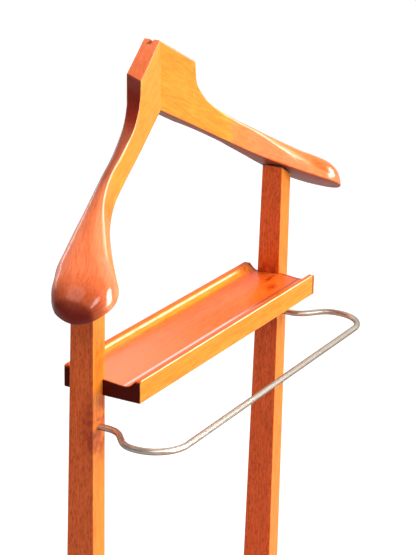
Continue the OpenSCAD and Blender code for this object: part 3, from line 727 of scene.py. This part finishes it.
# distance out, height, front, back, width and height of the top rounding, base rounding, skew,
# lean of the front face, drop and turn (degrees) of the dome from the crown to that face
STATIONS = [
    (ROOF_HALF, PEAK_H - (ROOF_SLOPE - UNDER_SLOPE) * ROOF_HALF, NECK_FRONT - ARM_SWEEP * ROOF_HALF,
     HANGER_BACK - 7.7, EDGE_R, EDGE_R, BASE_R, ROOF_SKEW, NECK_LEAN, EDGE_R, 90),
    (ROOF_HALF + 2, 47.5, NECK_FRONT - 10.5, HANGER_BACK - 9.5, 1.5, 1.5, BASE_R, ROOF_SKEW,
     NECK_LEAN, 1.3, 85),
    (ROOF_HALF + 6.5, 39.5, NECK_FRONT - 11.3, HANGER_BACK - 12, 2, 2, BASE_R, 6.9, 1.5, 1.3, 80),
    (ROOF_HALF + 19.5, 32, NECK_FRONT - 13.6, HANGER_BACK - 17.5, 3, 4, BASE_R, 3.9, 1, 1.8, 60),
    (95, 29, 26.7, 41, 7, 9.5, BASE_R, 1, 1.9, 2.5, 45),
    (120, 28.3, 20.9, 38.6, 9.3, 16, BASE_R, 0, 4.2, 3, 40),
    (145, 28.4, 9.3, 35.4, 13.4, 19, 1.2, 0, 6.2, 4.5, 40),
    (170, 27.5, -8.5, 32.9, 20, 19.7, 1.5, 0, 7, 10.7, 45),
    (192, 26.5, -26.7, 29.2, 24, 18.3, 2, 0, 7.5, 15, 60),
    (BULB_AT - 12, BULB_H + 0.4, 4.2 - BULB_REACH, BULB_BACK + 5.6, 24, 17.5, 2, 0, 4, 17, 75),
    (BULB_AT, BULB_H, -BULB_REACH, BULB_BACK, 24, 17, 2, 0, 1, 17, 85)]
print(len(STATIONS), "sections, the last", STATIONS[-1][0], "mm out")

# %% [markdown]
# A Catmull-Rom curve passes through every section. Heights count from the underside,
# which gets a little steeper past a bend.

# %% Between the sections
def between(i, f):
    """The section a part f of the way from station i to the next."""
    a, b, c, d = (STATIONS[max(0, min(len(STATIONS) - 1, i + k))] for k in (-1, 0, 1, 2))
    w = (2 * f**3 - 3 * f**2 + 1, f**3 - 2 * f**2 + f, 3 * f**2 - 2 * f**3, f**3 - f**2)
    return [b[k] * w[0] + (c[k] - a[k]) / 2 * w[1] + c[k] * w[2] + (d[k] - b[k]) / 2 * w[3]
            for k in range(len(b))]


def under(x):
    """Height of the underside at the distance x out, in millimetres."""
    return HANGER_Z - UNDER_SLOPE * x - UNDER_MORE * max(0, min(x, UNDER_END) - UNDER_BEND)


print("underside at the middle and at the shoulder end:", under(0), round(under(BULB_AT), 1), "mm")

# %% [markdown]
# One ring of points goes over the base, up the back, over the rounded top and down the
# front. The front is the hard side: from the crown it falls as a dome to an arris, and
# below that a flat face leans to the base. The arris is softened with a small curve, as
# a carver's sandpaper leaves it.

# %% Ring of a section
SOFT = 3                                       # dome steps that the softened arris takes up
FACE_AT = (0.06, 0.5, 0.94)                    # points down the flat face; it stays flat between
TOP_STEPS, BASE_STEPS, ARRIS_R = 12, 4, 1.5    # steps in the roundings, size of the softened arris
THIN = 0.01                                    # least width that a rounding leaves, millimetres


def quarter(y, z, w, h, start, steps):
    return [(y + w * math.cos(math.radians(start + 90 * i / steps)),
             z + h * math.sin(math.radians(start + 90 * i / steps))) for i in range(steps + 1)]


def front_side(mid, half, h, b, k, row):
    """From the crown over the dome to the softened arris and down the leaning face."""
    lean, drop, turn = row[8] * k, min(row[9] * k, h - b - THIN), math.radians(row[10])
    w = min(row[4] * k, half - lean - THIN * k)
    dome = [(mid - half + lean + w - w * math.sin(turn * i / TOP_STEPS) / math.sin(turn),
             h - drop * (1 - math.cos(turn * i / TOP_STEPS)) / (1 - math.cos(turn)))
            for i in range(TOP_STEPS + 1)]
    (cy, cz), (py, pz) = dome[-1], dome[-1 - SOFT]
    foot = (mid - half, b)
    up, down = math.dist((cy, cz), (py, pz)), math.dist((cy, cz), foot)
    r = min(ARRIS_R * k, 0.9 * up, 0.4 * down)
    a = (cy + (py - cy) * r / up, cz + (pz - cz) * r / up)
    c = (cy + (foot[0] - cy) * r / down, cz + (foot[1] - cz) * r / down)
    soft = [((1 - f)**2 * a[0] + 2 * f * (1 - f) * cy + f * f * c[0],
             (1 - f)**2 * a[1] + 2 * f * (1 - f) * cz + f * f * c[1])
            for f in (0, 0.25, 0.5, 0.75, 1)]
    face = [(c[0] + (foot[0] - c[0]) * f, c[1] + (foot[1] - c[1]) * f) for f in FACE_AT]
    return dome[:-SOFT] + soft + face


def ring(row, k=1.0):
    """The ring of a section, shrunk by k towards its middle, in metres."""
    s, height, front, rear, top_w, top_h, base_r, skew = row[:8]
    h, mid, half = height * k, (front + rear) / 2, (rear - front) / 2 * k
    b = base_r * k
    w, t = min(top_w * k, half - THIN * k), min(top_h * k, h - b - THIN * k)
    flat = (quarter(mid + half - b, b, b, b, -90, BASE_STEPS)
            + quarter(mid + half - w, h - t, w, t, 0, TOP_STEPS)
            + front_side(mid, half, h, b, k, row)
            + quarter(mid - half + b, b, b, b, 180, BASE_STEPS))
    out = []
    for y, z in flat:
        x = s - skew * (y - mid + half) / (2 * half)
        out.append((x / 1000, (POST_Y + y) / 1000, (under(x) + z) / 1000))
    return out


print("one ring has", len(ring(STATIONS[-1])), "points")

# %% [markdown]
# The first ring stands at the joint of the two halves, and the last rings shrink and
# turn forward to close the rounded nose. Near the shoulder end the arm then gets its
# sanding: each ring moves towards the mean of its neighbours, a few times over.

# %% All rings of an arm
RINGS_BETWEEN, NOSE_RINGS, NOSE_END = 14, 22, 89.2   # rings for each section, for the nose; degrees
SANDED, SANDINGS = (198, 236), 24              # sanded from here to there, millimetres out

middle = (0, PEAK_H, NECK_FRONT, HANGER_BACK, EDGE_R, EDGE_R, BASE_R, 0, NECK_LEAN, EDGE_R, 90)
rows = [(middle, 1.0)]
roof_ring = len(rows)
for i in range(len(STATIONS) - 1):
    rows += [(between(i, j / RINGS_BETWEEN), 1.0) for j in range(RINGS_BETWEEN)]
last = STATIONS[-1]
rows.append((last, 1.0))
for i in range(1, NOSE_RINGS + 1):
    a = math.radians(NOSE_END * i / NOSE_RINGS)
    turn = NOSE_TURN * (1 - math.cos(a))
    row = (last[0] + NOSE_L * math.sin(a), last[1], last[2] - turn, last[3] - turn) + last[4:7] + (
        0,) + last[8:]
    rows.append((row, math.cos(a) ** NOSE_POWER))
rings = [ring(row, k) for row, k in rows]
sand = [i for i in range(1, len(rows) - 4) if SANDED[0] < rows[i][0][0] < SANDED[1]]
for _ in range(SANDINGS):
    copy = [list(r) for r in rings]
    for i in sand:
        rings[i] = [tuple((a + 2 * b + c) / 4 for a, b, c in zip(*trio))
                    for trio in zip(copy[i - 1], copy[i], copy[i + 1])]
print(len(rings), "rings of", len(rings[0]), "points,", len(sand), "of them sanded")

# %% [markdown]
# Each point of an arm gets two sets of numbers. One says where it lies in the wood:
# across, up, and how far along the arm, so the grain follows the curve of the arm. The
# other says how far out it lies, how much it belongs to the flat face, and how close it
# is to the arris, which is what the stain and its painted light go by.

# %% Places on an arm
mids = [[sum(p[k] for p in r) / len(r) for k in range(3)] for r in rings]
outs = [m[0] for m in mids]
along = [0.0]
for a, b in zip(mids, mids[1:]):
    along.append(along[-1] + math.dist(a, b))
# points of a ring: top of the back face, crown, middle of the arris
BACK_FACE, CROWN = BASE_STEPS + 1, BASE_STEPS + TOP_STEPS + 1
ARRIS = CROWN + 1 + TOP_STEPS + 1 - SOFT + 1


def wood_place(x, y, z):
    """Across, up and along in the wood of an arm, for a point at distance x out."""
    i = max(1, min(len(outs) - 1, bisect.bisect(outs, x)))
    f = min(1.0, max(0.0, (x - outs[i - 1]) / max(outs[i] - outs[i - 1], 1e-9)))
    mid_y = mids[i - 1][1] * (1 - f) + mids[i][1] * f
    run = along[i - 1] * (1 - f) + along[i] * f
    return (y - mid_y, z - under(x * 1000) / 1000, run)


def tone_place(i, j):
    """For point j of ring i: distance out, share of flat face, closeness to the arris."""
    flat = min(1.0, max(0.0, (j - ARRIS + 2) / 4)) + max(0.0, 1 - max(0, j - BACK_FACE) / 5)
    return (rows[i][0][0] / 1000, min(1.0, flat), max(0.0, 1 - abs(j - ARRIS) / 2.5))


print("an arm is", round(along[-1], 3), "m long, its arris is point", ARRIS)

# %% [markdown]
# The skin is made for the right arm and mirrored for the left. The edge where the roof
# ends gets a bevel weight, so that a modifier can round it.

# %% Skin of the arms
def arm_mesh(name, side, material):
    n = len(rings[0])
    points = [p for r in rings for p in r]
    faces = [(i * n + j, (i + 1) * n + j, (i + 1) * n + (j + 1) % n, i * n + (j + 1) % n)
             for i in range(len(rings) - 1) for j in range(n)]
    faces += [tuple(range(n)), tuple(range(len(points) - 1, len(points) - n - 1, -1))]
    mesh = bpy.data.meshes.new(name)
    mesh.from_pydata([(side * x, y, z) for x, y, z in points], [], faces)
    tone_layer = mesh.attributes.new("tone_place", "FLOAT_VECTOR", "POINT")
    for k, d in enumerate(tone_layer.data):
        d.vector = tone_place(k // n, k % n)
    bm = bmesh.new()
    bm.from_mesh(mesh)
    bmesh.ops.recalc_face_normals(bm, faces=bm.faces)
    weight = bm.edges.layers.float.new("bevel_weight_edge")
    first = roof_ring * n
    for e in bm.edges:
        on_roof_ring = all(first <= v.index < first + n for v in e.verts)
        if on_roof_ring and min(v.co.z for v in e.verts) > mids[roof_ring][2]:
            e[weight] = 1.0
    bm.to_mesh(mesh)
    bm.free()
    mesh.materials.append(material)
    return link(name, mesh)


print("arm_mesh() ready")

# %% [markdown]
# ### The stain on the arms, with painted light
# The lacquer's stain goes deepest where the knife cut across the fibres: dark on the
# outer sides of the neck, salmon along the top of the arm, gold on the flat front. The
# colours are partly painted light too: the gold front stands partly for the front light,
# and the darker dome of the left arm, turned from the light, is partly painted shade. One
# colour ramp runs out along the dome and another along the front face.

# %% Stain and painted light of the arms
REACH_M = 0.25                                 # the ramps run this far out
# (millimetres out, colour)
# stain, and on the left dome also painted shade
DOME_STAIN_AND_SHADE = {
    "left": [(0, (0.72, 0.16, 0.045)), (50.4, (0.72, 0.16, 0.045)), (50.8, (0.28, 0.018, 0.003)),
             (62, (0.28, 0.020, 0.005)), (74, (0.32, 0.062, 0.024)), (122, (0.36, 0.068, 0.020)),
             (143, (0.60, 0.14, 0.040)), (165, (0.80, 0.19, 0.055)), (200, (0.82, 0.19, 0.060)),
             (243, (0.84, 0.17, 0.060))],
    "right": [(0, (0.66, 0.10, 0.016)), (50.4, (0.66, 0.10, 0.016)), (50.8, (0.075, 0.007, 0.002)),
              (62, (0.085, 0.009, 0.003)), (74, (0.30, 0.062, 0.024)), (118, (0.50, 0.12, 0.025)),
              (165, (0.90, 0.22, 0.035)), (215, (0.88, 0.15, 0.028)), (243, (0.85, 0.17, 0.040))]}
# stain, and partly the painted light of the front
FACE_STAIN_AND_LIGHT = {
    "left": [(0, (0.93, 0.35, 0.024)), (114, (0.93, 0.35, 0.024)), (124, (0.93, 0.29, 0.026)),
             (165, (0.90, 0.26, 0.045)), (218, (0.88, 0.22, 0.060)), (243, (0.86, 0.20, 0.055))],
    "right": [(0, (0.93, 0.34, 0.030)), (103, (0.93, 0.35, 0.035)), (109, (0.92, 0.27, 0.050)),
              (150, (0.90, 0.23, 0.065)), (215, (0.90, 0.22, 0.070)), (243, (0.80, 0.18, 0.060))]}
print("stops of the stain:", {side: len(stops) for side, stops in DOME_STAIN_AND_SHADE.items()})

# %% [markdown]
# The two ramps meet at the arris, which is painted pale: partly rubbed, partly a painted
# highlight. Slow clouds of deeper stain lie over both. The underside is darker with painted
# shade, and so is the end of the left shoulder, where it faces away from the light.

# %% Painting the stain and its painted light
# the second colour here is painted shade for the arms' undersides
CLOUD, ARM_UNDER_SHADE, RUBBED_AND_HIGHLIGHT = (0.97, 0.84, 0.72, 1), (0.27, 0.060, 0.028, 1), (1.0, 0.80, 0.56, 1)
# painted shade on the end of the left shoulder, turned away from the light
END_SHADE, SHADED_WAY = (0.19, 0.016, 0.008, 1), (-0.90, 0.0, -0.43)


def tone_ramp(t, out, stops):
    ramp = add(t, "ShaderNodeValToRGB", {0: out})
    points = ramp.color_ramp.elements
    while len(points) < len(stops):
        points.new(0.5)
    for point, (mm, colour) in zip(points, stops):
        point.position, point.color = mm / 1000 / REACH_M, (*colour, 1)
    return ramp.outputs[0]


def arm_tone(dome, face, shaded_end):
    """A function that paints an arm by the places stored on its points, for lacquered(). Its
    third argument is 1 where the shoulder end gets painted shade, else 0."""
    def paint(t):
        stored = add(t, "ShaderNodeAttribute", attribute_name="tone_place").outputs["Vector"]
        metres, on_face, on_arris = split(t, stored)
        out = maths(t, "DIVIDE", metres, REACH_M)
        colour = blend_colour(t, on_face, tone_ramp(t, out, dome), tone_ramp(t, out, face))
        clouds = ranged(t, noise(t, object_place(t), 42.0, 3.0), 0.35, 0.7, 0.0, 0.5)
        colour = darkened(t, clouds, colour, CLOUD)
        normal = add(t, "ShaderNodeNewGeometry").outputs["Normal"]
        away = vector_maths(t, "DOT_PRODUCT", normal, SHADED_WAY)
        # painted shade: the left shoulder end that faces away from the light goes dark
        end = product(t, ranged(t, away, 0.26, 0.74, 0.0, shaded_end), ranged(t, out, 0.78, 0.90))
        colour = blend_colour(t, end, colour, END_SHADE)
        # painted shade on the undersides
        colour = blend_colour(t, facing_down(t), colour, ARM_UNDER_SHADE)
        # pale arris: partly rubbed lacquer, partly a painted highlight
        rubbed_and_highlight = product(t, on_arris, ranged(t, out, 0.68, 0.80, 0.75, 0.0))
        return blend_colour(t, rubbed_and_highlight, colour, RUBBED_AND_HIGHLIGHT)
    return paint


print("arm_tone() ready")

# %% [markdown]
# The tongue's slot starts at the ridge and crosses the joint of the halves. Its cutter is
# a plain box, a little larger than the tongue, that a boolean takes away from each arm.

# %% Cutter of the slot
FIT, ABOVE = 0.00005, 0.01                     # play around the tongue, reach above the ridge
tongue_lo, tongue_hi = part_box("hanger_tongue")
cutter_mesh = bpy.data.meshes.new("slot_cutter")
bm = bmesh.new()
bmesh.ops.create_cube(bm, size=1.0)
for v in bm.verts:
    v.co = Vector((
        (tongue_hi.x + FIT) * (1 if v.co.x > 0 else -1),
        tongue_lo.y - FIT if v.co.y < 0 else tongue_hi.y + FIT,
        tongue_lo.z if v.co.z < 0 else (HANGER_Z + PEAK_H) / 1000 + ABOVE))
bm.to_mesh(cutter_mesh)
bm.free()
cutter = link("slot_cutter", cutter_mesh)
print("slot:", [round(v * 1000, 2) for v in cutter.dimensions], "mm")

# %% [markdown]
# Both halves come from the same skin. The modifiers are put into the mesh before the
# wood's places are stored, so the points that they add get a place too.

# %% Both halves of the hanger
ROOF_EDGE = 0.0007                             # radius of the edge where the roof ends

for side, sign in (("left", -1), ("right", 1)):
    wood = lacquered("hanger_wood_" + side, "z", gloss=0.8, flecks=0.25, seed=0.7 + sign, edge=0.1,
                     tone=arm_tone(DOME_STAIN_AND_SHADE[side], FACE_STAIN_AND_LIGHT[side], 1.0 if sign < 0 else 0.0),
                     attribute="wood_place", lines=growth_lines if sign > 0 else None)
    arm = arm_mesh("hanger_arm_" + side, sign, wood)
    bevel = arm.modifiers.new("roof_end", "BEVEL")
    bevel.limit_method, bevel.width, bevel.segments = "WEIGHT", ROOF_EDGE, 3
    bevel.use_clamp_overlap = True
    slot_cut = arm.modifiers.new("slot", "BOOLEAN")
    slot_cut.operation, slot_cut.solver, slot_cut.object = "DIFFERENCE", "EXACT", cutter
    mesh = finished_mesh(arm)
    place = mesh.attributes.new("wood_place", "FLOAT_VECTOR", "POINT")
    for v, d in zip(mesh.vertices, place.data):
        d.vector = wood_place(abs(v.co.x), v.co.y, v.co.z)
    mesh.shade_smooth()
    mesh.set_sharp_from_angle(angle=math.radians(32))
    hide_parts("hanger_" + side)
    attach(arm, "root")
    print(arm.name, len(mesh.polygons), "faces")
bpy.data.objects.remove(cutter)

# %% [markdown]
# ## The trouser rod
# The real rod is one length of nickel-plated wire, bent six times. Geometry Nodes suit
# it: a curve goes in, a circle is swept along it, and thickness and roundness are named
# inputs. Python only lays out the path from straight pieces and bends.

# %% Path of the rod
ROD_D, ROD_SIDES = 0.006, 28                   # thickness in metres, sides of the swept circle


def rod_path():
    """Points of the rod's axis from the left plug to the right plug, in metres."""
    post_mid, z = 177.5, 822.0                 # millimetres, as all sizes here
    # plug in the post, straight stub before it, the crank's sideways swing and straight
    # run, straight side, radius of the corner, reach in front of the post
    plug, stub, swing, run, side_l, corner, reach = 14.0, 9.0, 25.5, 13.0, 2.0, 33.0, 87.0
    length = reach - corner - side_l - stub
    bend = (swing**2 + length**2 - run**2) / (4 * swing)
    turn = math.atan2(swing - 2 * bend, length) + math.atan2(2 * bend, run)
    points = [(0.0, POST_Y + plug)]
    x, y, heading = 0.0, POST_Y + plug, 0.0      # heading from -Y towards the outside

    def straight(l, n):
        nonlocal x, y
        for _ in range(n):
            x, y = x + l / n * math.sin(heading), y - l / n * math.cos(heading)
            points.append((x, y))

    def curve(radius, angle, n):
        nonlocal heading
        step = angle / n
        chord = 2 * radius * math.sin(abs(step) / 2)
        for _ in range(n):
            heading += step / 2
            straight(chord, 1)
            heading += step / 2

    straight(plug + stub, 4)
    curve(bend, turn, 14)
    straight(run, 3)
    curve(bend, -turn, 14)
    straight(side_l, 1)
    curve(corner, -math.pi / 2, 26)
    half = [(post_mid + px, py) for px, py in points]
    return ([(-px / 1000, py / 1000, z / 1000) for px, py in half]
            + [(px / 1000, py / 1000, z / 1000) for px, py in reversed(half)])


path_points = rod_path()
print(len(path_points), "points,", round(sum(
    math.dist(a, b) for a, b in zip(path_points, path_points[1:])), 3), "m of wire")

# %% [markdown]
# The tree below sweeps a circle along that path. It stores how far along the wire each
# point lies, which the metal's fine drawing lines will follow.

# %% The sweep tree
wire, gin, gout = new_group("bent_wire", [
    ("Geometry", "NodeSocketGeometry", None), ("Thickness", "NodeSocketFloat", ROD_D),
    ("Sides", "NodeSocketInt", ROD_SIDES), ("Finish", "NodeSocketMaterial", None)], [
    ("Geometry", "NodeSocketGeometry")], "GeometryNodeTree")
t = wire
line = add(t, "GeometryNodeMeshToCurve", {"Mesh": gin.outputs["Geometry"]})
run_along = add(t, "GeometryNodeSplineParameter").outputs["Length"]
named = add(t, "GeometryNodeStoreNamedAttribute", {"Geometry": line.outputs[0],
            "Name": "wire_along", "Value": run_along}, data_type="FLOAT", domain="POINT")
radius = product(t, gin.outputs["Thickness"], 0.5)
circle = add(t, "GeometryNodeCurvePrimitiveCircle", {"Resolution": gin.outputs["Sides"],
             "Radius": radius})
swept = add(t, "GeometryNodeCurveToMesh", {"Curve": named.outputs[0],
            "Profile Curve": circle.outputs[0], "Fill Caps": True})
real = add(t, "GeometryNodeRealizeInstances", {0: swept.outputs[0]})
done = add(t, "GeometryNodeSetMaterial", {"Geometry": real.outputs[0],
           "Material": gin.outputs["Finish"]})
t.links.new(done.outputs[0], gout.inputs[0])
print("bent_wire:", len(wire.nodes), "nodes")

# %% [markdown]
# ### Nickel
# Satin nickel is a warm grey metal. Drawing the wire leaves fine bands along it, and
# hangers and trousers leave faint scuffs. The underside is painted a darker brown, as
# painted shade. The specular tint of a metal colours what it mirrors at a grazing look,
# and a dark one gives the thin rod its dark outlines.

# %% Nickel
NICKEL, SCUFFED, ROD_UNDER_SHADE = (0.74, 0.65, 0.55, 1), (0.66, 0.57, 0.48, 1), (0.36, 0.27, 0.21, 1)

nickel = bpy.data.materials.new("satin_nickel")
nickel.use_nodes = True
t = nickel.node_tree
shader = t.nodes["Principled BSDF"]
run_along = add(t, "ShaderNodeAttribute", attribute_name="wire_along").outputs["Fac"]
scuffs = noise(t, object_place(t), 55.0, 5.0, Roughness=0.7)
bands = add(t, "ShaderNodeTexNoise", {"W": product(t, run_along, 160.0), "Scale": 1.0,
            "Detail": 3.0}, noise_dimensions="1D").outputs[0]
tone = blend_colour(t, ranged(t, scuffs, 0.35, 0.75), NICKEL, SCUFFED)
normal = add(t, "ShaderNodeNewGeometry").outputs["Normal"]
# painted shade: the underside of the rod is darker
underneath = ranged(t, split(t, normal)[2], -0.75, 0.35, 0.85, 0.0)
t.links.new(blend_colour(t, underneath, tone, ROD_UNDER_SHADE), shader.inputs["Base Color"])
t.links.new(maths(t, "ADD", ranged(t, scuffs, 0.3, 0.8, 0.33, 0.42), product(t, bands, 0.05)),
            shader.inputs["Roughness"])
fine = add(t, "ShaderNodeBump", {"Strength": 0.02, "Distance": 0.0001, "Height": bands})
t.links.new(fine.outputs[0], shader.inputs["Normal"])
shader.inputs["Metallic"].default_value = 1.0
shader.inputs["Specular Tint"].default_value = (0.28, 0.23, 0.19, 1)
print("satin_nickel:", len(t.nodes), "nodes")

# %% [markdown]
# The path goes into the tree as a chain of edges. The tree's inputs are set by their
# identifiers, because a modifier doesn't know them by name.

# %% The rod
path_mesh = bpy.data.meshes.new("rod_path")
path_mesh.from_pydata(path_points, [(i, i + 1) for i in range(len(path_points) - 1)], [])
rod = link("bent_rod", path_mesh)
sweep = rod.modifiers.new("sweep", "NODES")
sweep.node_group = wire
ids = {s.name: s.identifier for s in wire.interface.items_tree if s.in_out == "INPUT"}
sweep[ids["Thickness"]] = ROD_D
sweep[ids["Sides"]] = ROD_SIDES
sweep[ids["Finish"]] = nickel
mesh = finished_mesh(rod)
mesh.shade_smooth()
mesh.set_sharp_from_angle(angle=math.radians(40))
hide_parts("trouser_rod")
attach(rod, "root")
print("rod:", len(mesh.polygons), "faces")

# %% [markdown]
# ## Small parts that keep their measured shape
# Dowels, screws, nails, glides and the tongue are right as they are. They only need
# their finishes.

# %% Finishes of the small parts
def plain(name, colour, other, roughness, metallic=0.0, scale=400.0):
    """A simple finish whose colour and roughness vary a little over the surface."""
    m = bpy.data.materials.new(name)
    m.use_nodes = True
    t = m.node_tree
    shader = t.nodes["Principled BSDF"]
    clouds = noise(t, object_place(t), scale, 4.0)
    t.links.new(blend_colour(t, clouds, colour, other), shader.inputs["Base Color"])
    t.links.new(ranged(t, clouds, 0.3, 0.7, roughness - 0.06, roughness + 0.06),
                shader.inputs["Roughness"])
    bump = add(t, "ShaderNodeBump", {"Strength": 0.1, "Distance": 0.0002, "Height": clouds})
    t.links.new(bump.outputs[0], shader.inputs["Normal"])
    shader.inputs["Metallic"].default_value = metallic
    return m


tongue_wood = lacquered("tongue_wood", "x", gold=(0.42, 0.10, 0.05, 1), red=(0.30, 0.055, 0.03, 1),
                        seed=8.8, gloss=0.4)
dowel_beech = plain("dowel_beech", (0.62, 0.44, 0.25, 1), (0.52, 0.34, 0.18, 1), 0.6)
zinc = plain("bright_zinc", (0.62, 0.63, 0.65, 1), (0.50, 0.51, 0.52, 1), 0.32, metallic=1.0)
nylon = plain("brown_nylon", (0.060, 0.032, 0.020, 1), (0.045, 0.024, 0.015, 1), 0.55, scale=900.0)
print("small finishes:", [m.name for m in (tongue_wood, dowel_beech, zinc, nylon)])

# %% [markdown]
# A measured piece keeps its mesh, and only its material changes.

# %% Dress the small parts
def dress(node, material):
    data = nodes[node].data
    data.materials.clear()
    data.materials.append(material)


dress("hanger_tongue", tongue_wood)
for node in ("hanger_dowels", "tray_dowels", "rail_dowels", "stretcher_dowels"):
    dress(node, dowel_beech)
for node in ("block_screws", "seat_screws", "glide_nails"):
    dress(node, zinc)
for node in nodes:
    if node.endswith("_glide"):
        dress(node, nylon)
print("small parts dressed")
